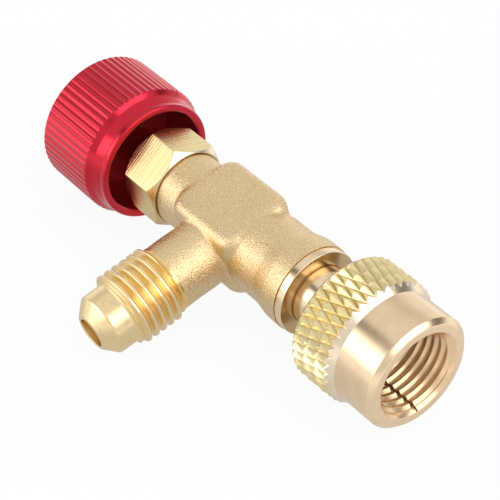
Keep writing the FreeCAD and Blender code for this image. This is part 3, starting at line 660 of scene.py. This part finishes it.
# %% Ingredients of a finish
class Finish:
    """A material or a world, built node by node."""

    def __init__(self, owner):
        owner.use_nodes = True
        self.owner, self.tree = owner, owner.node_tree
        self.coat = self.tree.nodes.get("Principled BSDF")

    def node(self, kind, settings=None, values=None, output=0):
        """One shader node: its settings first, then values or links for its sockets."""
        made = self.tree.nodes.new("ShaderNode" + kind)
        for key, value in (settings or {}).items():
            setattr(made, key, value)
        for key, value in (values or {}).items():
            self.feed(made.inputs[key], value)
        return Amount(self, made.outputs[output])

    def feed(self, socket, value):
        """Link an amount to a socket, or set the socket to a plain value."""
        if isinstance(value, Amount):
            self.tree.links.new(value.socket, socket)
        elif hasattr(value, "__len__") and len(value) == 3 and socket.type == "RGBA":
            socket.default_value = (*value, 1.0)
        else:
            socket.default_value = value

    def dot(self, first, second):
        """How far one vector reaches along another, which is one unit long."""
        return self.node("VectorMath", {"operation": "DOT_PRODUCT"}, {0: first, 1: second}, 1)

    def place(self, axis=None, origin=(0, 0, 0)):
        """The surface point in millimetres; with an axis, (along, around the axis) amounts."""
        spot = self.node("TexCoord", output=3)
        spot = self.node("VectorMath", {"operation": "SCALE"}, {0: spot, "Scale": 1000.0})
        if axis is None:
            return spot
        spot = self.node("VectorMath", {"operation": "SUBTRACT"}, {0: spot, 1: origin})
        along = self.dot(spot, axis)
        length = self.node("VectorMath", {"operation": "LENGTH"}, {0: spot}, 1)
        away = (length * length - along * along).math("MAXIMUM", 0.0).math("SQRT")
        return along, away

    def noise(self, spot, scale, detail=3.0, roughness=0.55):
        """Cloudy amount around each point; scale is in clouds per millimetre."""
        return self.node("TexNoise", None, {"Vector": spot, "Scale": scale, "Detail": detail,
                                            "Roughness": roughness})

    def lines(self, amount, scale, detail=4.0):
        """Noise along one amount only: fine parallel lines."""
        return self.node("TexNoise", {"noise_dimensions": "1D"},
                         {"W": amount, "Scale": scale, "Detail": detail, "Roughness": 0.7})

    def bump(self, height, depth):
        """Normal for a height of 0 to 1 that is worth depth millimetres."""
        return self.node("Bump", None, {"Height": height, "Distance": depth * MM, "Strength": 1.0})

    def surface(self, **values):
        """Feed the main shader's sockets and hand back the material."""
        for key, value in values.items():
            self.feed(self.coat.inputs[key.replace("_", " ")], value)
        return self.owner


def finish(name):
    """A new material to be built up."""
    return Finish(bpy.data.materials.new(name))


MAIN_AXIS = ((1.0, 0.0, 0.0), (0.0, 0.0, 0.0))
PORT_AXIS = ((0.0, -math.cos(roll), -math.sin(roll)), (-mouth_station, 0.0, 0.0))


def at(station):
    """A station of the main bore, as the shared frame counts it, in millimetres."""
    return station - mouth_station


print("finishes along the main bore count from", at(0.0), "at the crossing")

# %% [markdown]
# ## Pieces and the nodes they stand for
# Each drawn piece replaces the plain solids of one node, rides on the body that carries them,
# so that it follows every joint, and wears its finish.

# %% Body, node and finish of a piece
def settle(piece, body, nodes, material):
    """Make a drawn piece stand for nodes, move with a body and wear a finish."""
    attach(piece, body)
    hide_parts(*nodes)
    piece.data.materials.clear()
    piece.data.materials.append(material)
    print(f"{piece.name} rides on {body} in {material.name}")


# %% [markdown]
# ## Forged brass
# A forging comes out of the die with oxide on it and is blasted clean, which leaves a fine
# matt grain: bright where small facets face the light, brown in the pits between. A bump of a
# tenth of a millimetre gives the sparkle, the same grain darkens the colour and changes the
# roughness a little, and the kept hollowness darkens the inner corners with painted shade.

# %% Forged brass
def forged_brass():
    make = finish("forged_brass_skin")
    spot = make.place()
    grain = make.noise(spot, 4.4, 2.0, 0.6)
    specks = make.noise(spot, 2.4, 3.0, 0.7).between(0.64, 0.72)
    pits = make.noise(spot, 1.6, 2.0)
    patches = make.noise(spot, 0.35, 3.0)
    hollow = make.node("Attribute", {"attribute_name": "crease"}, output=2)
    base = patches.between(0.3, 0.75).colour((0.90, 0.69, 0.41), (0.94, 0.74, 0.45))
    # painted shade: a darker, more orange base where the skin is hollow
    base = hollow.between(0.05, 0.5).colour(base, (0.85, 0.62, 0.35))
    base = grain.between(0.36, 0.62).colour((0.78, 0.575, 0.305), base)
    base = (specks * 0.5).colour(base, (0.55, 0.38, 0.20))
    return make.surface(Base_Color=base, Metallic=1.0,
                        Roughness=grain.between(0.3, 0.7) * 0.15 + 0.22,
                        Normal=make.bump(grain + pits * 0.4, 0.10))


settle(tee, "valve_body", ["valve_body"], forged_brass())

# %% [markdown]
# ## Turned brass of the port
# Turned brass is bright, with rings left by the tool. The rings are noise along the port's
# own axis, with a share of the distance from it so that they also show on faces. The flanks
# and roots of the thread get a deeper base colour than the crests and the nose: a painted
# reflection of flank in flank.

# %% Port brass
TOOL_MARK = 0.006                      # mm, how deep a finishing tool's rings are


def port_finish():
    make = finish("turned_brass_port")
    along, away = make.place(*PORT_AXIS)
    cuts = make.lines(along + away * 0.73, 9.0)
    stain = make.noise(make.place(), 0.9, 2.0).between(0.55, 0.7)
    nose = along.between(20.2, 20.7)
    # painted reflection: flanks and roots deeper in colour than the crests
    base = away.between(5.36, 5.56).colour((0.93, 0.68, 0.32), (0.95, 0.76, 0.46))
    base = nose.colour(base, (0.95, 0.74, 0.41))
    base = (stain * 0.4).colour(base, (0.70, 0.58, 0.40))
    return make.surface(Base_Color=base, Metallic=1.0, Roughness=cuts * 0.08 + 0.2,
                        Normal=make.bump(cuts, TOOL_MARK))


settle(port, "valve_body", ["valve_body"], port_finish())

# %% [markdown]
# ## Turned brass of the tail
# The tail and the collar's band are turned finer and shine almost like a mirror, so they show
# the nut and the tent in sharp bands. The ring-shaped face next to the tail gets a darker base,
# painted shade of the nut, and a dark line marks where forging and turning meet.

# %% Tail brass
def tail_finish():
    make = finish("turned_brass_tail")
    along, away = make.place(*MAIN_AXIS)
    cuts = make.lines(along + away * 0.73, 9.0)
    # painted shade of the nut: a darker base on the ring-shaped face next to the tail
    gap = away.between(6.4, 6.3) * (1 - along.between(at(17.6), at(18.0)))
    base = gap.colour((0.93, 0.74, 0.50), (0.62, 0.44, 0.24))
    seam = 1 - along.between(at(16.27), at(16.33))
    base = seam.colour(base, (0.36, 0.22, 0.10))
    return make.surface(Base_Color=base, Metallic=1.0, Roughness=cuts * 0.06 + 0.09,
                        Normal=make.bump(cuts, TOOL_MARK))


tail_brass = tail_finish()
settle(band, "valve_body", ["valve_body"], tail_brass)
settle(tail, "valve_body", ["tailpiece"], tail_brass)

# %% [markdown]
# ## Brass of the nut
# The knurl's flanks are pressed, not cut, so they are smooth and yellow, with painted shade in
# the bottom of the valleys; the turned skirt is paler and shows the tool's rings. The rear face
# and the inside of the thread get a darker, browner base as painted shade too. One material
# with masks by place does this better than three with seams between them.

# %% Nut brass
def nut_finish():
    make = finish("nut_brass_turned")
    along, away = make.place(*MAIN_AXIS)
    spot = make.place()
    cuts = make.lines(along + away * 0.73, 9.0)
    turned_face = along.between(at(29.35), at(29.55))
    base = turned_face.colour((0.97, 0.81, 0.44), (0.93, 0.71, 0.47))
    # painted shade: a dark brown base on the rear face, next to the collar
    rear = 1 - along.between(at(23.0), at(23.25))
    base = rear.colour(base, (0.50, 0.33, 0.16))
    slope = turned_face * (1 - along.between(at(30.5), at(30.7)))
    base = slope.colour(base, (0.95, 0.81, 0.62))
    # painted shade: a darker base in the bottom of the knurl's valleys
    valley = (1 - away.between(8.9, 9.1)) * (1 - turned_face)
    base = (valley * 0.5).colour(base, (0.56, 0.46, 0.26))
    # painted shade: a browner base inside the nut's thread
    inside = 1 - away.between(6.4, 6.6)
    base = inside.colour(base, (0.92, 0.67, 0.41))
    scuffs = make.noise(spot, 2.6, 2.0) * (1 - turned_face) * 3.0
    base = make.noise(spot, 0.5, 2.0).between(0.3, 0.7).colour(base, make.node(
        "Mix", {"data_type": "RGBA"}, {0: 0.12, 6: base, 7: (0.45, 0.33, 0.20)}, 2))
    return make.surface(Base_Color=base, Metallic=inside * -0.25 + 1.0,
                        Roughness=cuts * 0.10 + 0.15,
                        Normal=make.bump(cuts + scuffs, TOOL_MARK))


settle(nut, "swivel_nut", ["swivel_nut"], nut_finish())

# %% [markdown]
# ## Milled brass
# The side of the cutter leaves fine lines across each flat of the hexagon, and the turned
# cone at its ends stays smooth. The lines are noise along the bore alone; a mask that knows
# how far the cone reaches keeps them off it. Painted light goes by which way a face turns:
# painted shade on the flat towards the port, a painted highlight on the cone turned away from
# it and painted shade on the cone turned towards it, and a painted shade ring where the
# hexagon meets the casting.

# %% Milled brass
def milled_brass():
    make = finish("milled_brass_hexagon")
    along, away = make.place(*MAIN_AXIS)
    sweep = (along * 15.7).math("SINE") * 0.5 + 0.5
    cuts = make.lines(along, 4.6, 2.0) * 0.75 + sweep * 0.25
    fine = make.lines(along, 9.0, 2.0)
    from_end = at(HEX_FRONT) - along
    flat = (from_end * CONE_SLOPE + FACE_RADIUS - away).between(0.02, 0.09)
    normal = make.node("TexCoord", output=1)
    facing_port = make.dot(normal, PORT_AXIS[0])
    base = cuts.between(0.36, 0.52).colour((0.70, 0.56, 0.26), (0.91, 0.77, 0.41))
    # painted shade: a darker, more orange base on the flat that faces the port
    base = facing_port.between(0.86, 0.95).colour(base, (0.86, 0.66, 0.30))
    # painted highlight on the cone where it turns away from the port, painted shade where it turns
    # towards it
    rim = facing_port.between(0.30, 0.62).colour((0.95, 0.83, 0.59), (0.74, 0.52, 0.25))
    base = flat.colour(rim, base)
    # painted shade: a dark ring at the inner rim, in the gap to the casting
    base = away.between(5.80, 5.88).colour((0.60, 0.40, 0.19), base)
    return make.surface(Base_Color=base, Metallic=1.0, Roughness=fine * 0.15 + 0.17,
                        Normal=make.bump((cuts + fine * 0.4) * flat, 0.02))


settle(hexagon, "valve_body", ["bonnet_nut"], milled_brass())

# %% [markdown]
# ## Red anodised aluminium
# Anodising grows a clear dyed layer on bright metal: light passes it twice, which gives the
# deep red, and its surface adds a second, colourless shine. A metal with a dark red base and
# a coat above it behaves the same way. The cavity was dyed as well but never polished, so it is
# rougher with less coat, and its base is painted a darker red as painted shade in the recess.

# %% Red anodised aluminium
def red_anodised():
    make = finish("red_anodised_knob")
    along, away = make.place(*MAIN_AXIS)
    cuts = make.lines(along + away * 0.8, 7.0)
    inside = (1 - away.between(8.25, 8.45)) * along.between(at(-27.6), at(-27.4))
    inside = inside * (1 - along.between(at(-19.4), at(-19.1)))
    # painted shade: a darker red base inside the cavity
    base = inside.colour((0.66, 0.009, 0.032), (0.42, 0.02, 0.03))
    return make.surface(Base_Color=base, Metallic=inside * -0.4 + 1.0,
                        Roughness=cuts * 0.08 + inside * 0.2 + 0.13,
                        Coat_Weight=inside * -0.45 + 0.55, Coat_Roughness=0.12,
                        Normal=make.bump(cuts, TOOL_MARK))


settle(knob, "handwheel", ["knob"], red_anodised())

# %% [markdown]
# ## The small pieces
# Rings, washers, stem and pin hardly show, so they keep the solids of the packed model and
# only get a finish: turned brass, plain steel, the red fibre of the washer and black rubber.

# %% Turned brass
def turned_brass(name, base):
    make = finish(name)
    along, away = make.place(*MAIN_AXIS)
    cuts = make.lines(along + away * 0.73, 9.0)
    tint = make.noise(make.place(), 0.5, 2.0)
    dark = tuple(c * 0.9 for c in base)
    return make.surface(Base_Color=tint.between(0.35, 0.65).colour(dark, base), Metallic=1.0,
                        Roughness=cuts * 0.10 + 0.15, Normal=make.bump(cuts, TOOL_MARK))


# %% Plain finishes
def plain(name, base, metallic, roughness, grain_depth):
    make = finish(name)
    grain = make.noise(make.place(), 6.0, 3.0)
    dark = tuple(c * 0.85 for c in base)
    return make.surface(Base_Color=grain.between(0.2, 0.8).colour(dark, base), Metallic=metallic,
                        Roughness=grain * 0.15 + roughness, Normal=make.bump(grain, grain_depth))


small = {
    ("pin_retainer", "knob_washer", "knob_screw"):
        plain("plain_steel_small", (0.55, 0.55, 0.56), 1.0, 0.3, 0.01),
    ("bonnet_washer",): plain("fibre_washer_red", (0.32, 0.10, 0.05), 0.0, 0.7, 0.03),
    ("stem_oring_outer", "stem_oring_inner", "tailpiece_oring", "face_gasket"):
        plain("seal_rubber_black", (0.02, 0.02, 0.02), 0.0, 0.5, 0.02),
    ("stem", "depressor_pin", "pin_guide", "slip_washer"):
        turned_brass("turned_brass_small", (0.88, 0.66, 0.36)),
}
for names, material in small.items():
    for name in names:
        node = frame["nodes"][name]
        node.data.materials.clear()
        node.data.materials.append(material)
    print(f"{material.name}: {', '.join(names)}")

# %% [markdown]
# ## Table
# A product is often photographed on white card that is exposed until it is pure white, yet
# the metal above still mirrors a card that gets darker close by, where the valve shades it.
# One material with a Mix Shader does both: the camera sees white, a mirror ray sees a glowing
# card with the valve's shadow painted in, grey close by.

# %% White card
TABLE_TOP = min(cad_box[0][2], cad_box[1][2])
UNDER_VALVE = (-0.042, 0, TABLE_TOP)             # m


def white_card():
    make = finish("white_table")
    rays = make.tree.nodes.new("ShaderNodeLightPath")
    camera_ray = Amount(make, rays.outputs["Is Camera Ray"])
    glossy_ray = Amount(make, rays.outputs["Is Glossy Ray"])
    passing_ray = Amount(make, rays.outputs["Is Transmission Ray"])
    spot = make.node("TexCoord", output=3)
    spot = make.node("VectorMath", {"operation": "SUBTRACT"}, {0: spot, 1: UNDER_VALVE})
    far = make.node("VectorMath", {"operation": "LENGTH"}, {0: spot}, 1)
    paper = make.node("BsdfDiffuse", None, {"Color": (0.9, 0.9, 0.9)})
    seen_white = make.node("Emission", None, {"Color": (1.0, 1.0, 1.0), "Strength": 1.0})
    # painted shadow: the glowing card that mirror rays see is darker close to the valve
    paler = far.between(0.02, 0.10).colour((0.62, 0.62, 0.62), (1.12, 1.12, 1.12))
    mirrored = make.node("Emission", None, {"Color": paler, "Strength": 1.0})
    both = make.node("MixShader", None, {0: camera_ray * 0.93, 1: paper, 2: seen_white})
    mirror_ray = (glossy_ray + passing_ray) * 0.85
    both = make.node("MixShader", None, {0: mirror_ray, 1: both, 2: mirrored})
    make.tree.links.new(both.socket, make.tree.nodes["Material Output"].inputs["Surface"])
    return make.owner


# %% Table
TABLE_REACH = 3.0                                # m, to each side
sheet = bpy.data.meshes.new("table")
sheet.from_pydata([(x * TABLE_REACH, y * TABLE_REACH, TABLE_TOP)
                   for x, y in ((-1, -1), (1, -1), (1, 1), (-1, 1))], [], [(0, 1, 2, 3)])
sheet.materials.append(white_card())
table = new_object("table", sheet)
table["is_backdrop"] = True
print(f"table at {TABLE_TOP / MM:.2f} mm")

# %% [markdown]
# ## Tent and lights
# Bright metal shows its surroundings more than itself. In the picture that is a white tent
# with two bright boxes, a few darker gaps, and nothing else. All of it is painted on the
# world by compass direction and height, with soft borders, so there is no lamp to hide.

# %% Directions in the tent
tent = Finish(bpy.data.worlds.new("tent"))
bpy.context.scene.world = tent.owner
way = tent.node("TexCoord", output=0)
up = tent.dot(way, (0, 0, 1))
level = tent.node("VectorMath", {"operation": "MULTIPLY"}, {0: way, 1: (1, 1, 0)})
level = tent.node("VectorMath", {"operation": "NORMALIZE"}, {0: level})


def facing(azimuth, half_width, soft):
    """1 where the tent's wall lies within half_width degrees of an azimuth, 0 beyond."""
    axis = (math.cos(math.radians(azimuth)), math.sin(math.radians(azimuth)), 0)
    near = tent.dot(level, axis)
    outer, inner = (math.cos(math.radians(half_width + s)) for s in (soft, -soft))
    return near.between(outer, inner)


def height(low, high, soft):
    """1 between two heights above the table, in degrees."""
    sine = [math.sin(math.radians(a)) for a in (low - soft, low + soft, high - soft, high + soft)]
    return up.between(sine[0], sine[1]) * (1 - up.between(sine[2], sine[3]))


# %% Wall, gaps and light boxes
wall = facing(170, 45, 25).colour((0.79, 0.78, 0.77), (0.66, 0.65, 0.64))
wall = up.between(0.66, 0.80).colour(wall, (0.84, 0.84, 0.83))
patches = {
    "pale low wall": (facing(145, 34, 12) * height(-10, 24, 7), (0.98, 0.97, 0.95)),
    "dark high gap": (facing(-143, 8, 6) * height(38, 54, 5), (0.14, 0.13, 0.12)),
    "dark low gap": (facing(63, 14, 6) * height(4, 32, 5), (0.20, 0.19, 0.18)),
    "grey seam": (facing(-30, 14, 8) * height(38, 56, 5), (0.62, 0.61, 0.60)),
    "left light box": (facing(-112, 28, 7) * height(6, 37, 7), (2.35, 2.35, 2.31)),
    "right light box": (facing(17, 35, 7) * height(22, 60, 7), (2.35, 2.35, 2.35)),
}
for share, colour in patches.values():
    wall = share.colour(wall, colour)
tent.feed(tent.tree.nodes["Background"].inputs["Color"], wall)
print("tent:", ", ".join(patches))

# %% [markdown]
# ## Camera
# The camera was fitted to the picture once: its place and its three directions are given in
# the valve's own axes, so it would follow if the valve lay rolled in another way.

# %% Camera
view_right = (0.62295, 0.76369, -0.16943)
view_up = (-0.50985, 0.56064, 0.65248)
view_back = (0.59329, -0.32008, 0.73862)
camera_spot = (147.028, -78.121, 177.214)      # from the crossing of the bores, in the valve's axes
lens = bpy.data.cameras.new("camera")
lens.sensor_width, lens.lens = 36.0, 126.418
lens.clip_start, lens.clip_end = 0.01, 20.0
camera = new_object("camera", lens)
rolled = Matrix.Rotation(roll, 3, "X")
turn = Matrix([rolled @ Vector(v) for v in (view_right, view_up, view_back)]).transposed().to_4x4()
camera.matrix_world = Matrix.Translation(Vector(to_frame([camera_spot])[0])) @ turn
bpy.context.scene.camera = camera
bpy.context.scene.view_settings.view_transform = "Standard"
print(f"camera {Vector(camera_spot).length:.0f} mm from the crossing, lens {lens.lens:.1f} mm")

# %% [markdown]
# ## Sizes
# The box round the packed solids and the box round what is drawn here are printed side by side.

# %% Sizes of both models
seen_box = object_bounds()
for title, box in (("solids", cad_box), ("drawn", seen_box)):
    print(title, [round((high - low) / MM, 2) for low, high in zip(*box)], "mm")
